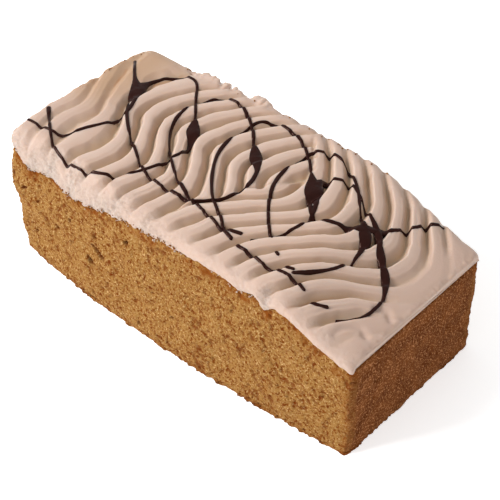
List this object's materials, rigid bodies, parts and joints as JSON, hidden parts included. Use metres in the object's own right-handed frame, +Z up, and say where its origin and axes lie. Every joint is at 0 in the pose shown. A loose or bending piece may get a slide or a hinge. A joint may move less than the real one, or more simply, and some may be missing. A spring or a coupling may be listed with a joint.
{
  "type": "iced coffee loaf cake",
  "caption": "Oblong coffee loaf cake: golden crumb sponge under thick coffee icing combed into curved ridges, with a looped line of dark chocolate on top.",
  "frame": {"origin": "centre of the loaf's base, on the surface that it stands on", "axes": "+X along the loaf from its cut end to its tin end, +Y from its front long side to its back, +Z up"},
  "size_m": [0.2, 0.0997, 0.0737],
  "materials": {
    "sponge": "dry open crumb",
    "icing": "soft satin",
    "chocolate": "glossy"
  },
  "bodies": {
    "root": {"sponge": "sponge", "icing": "icing"}
  },
  "joints": []
}
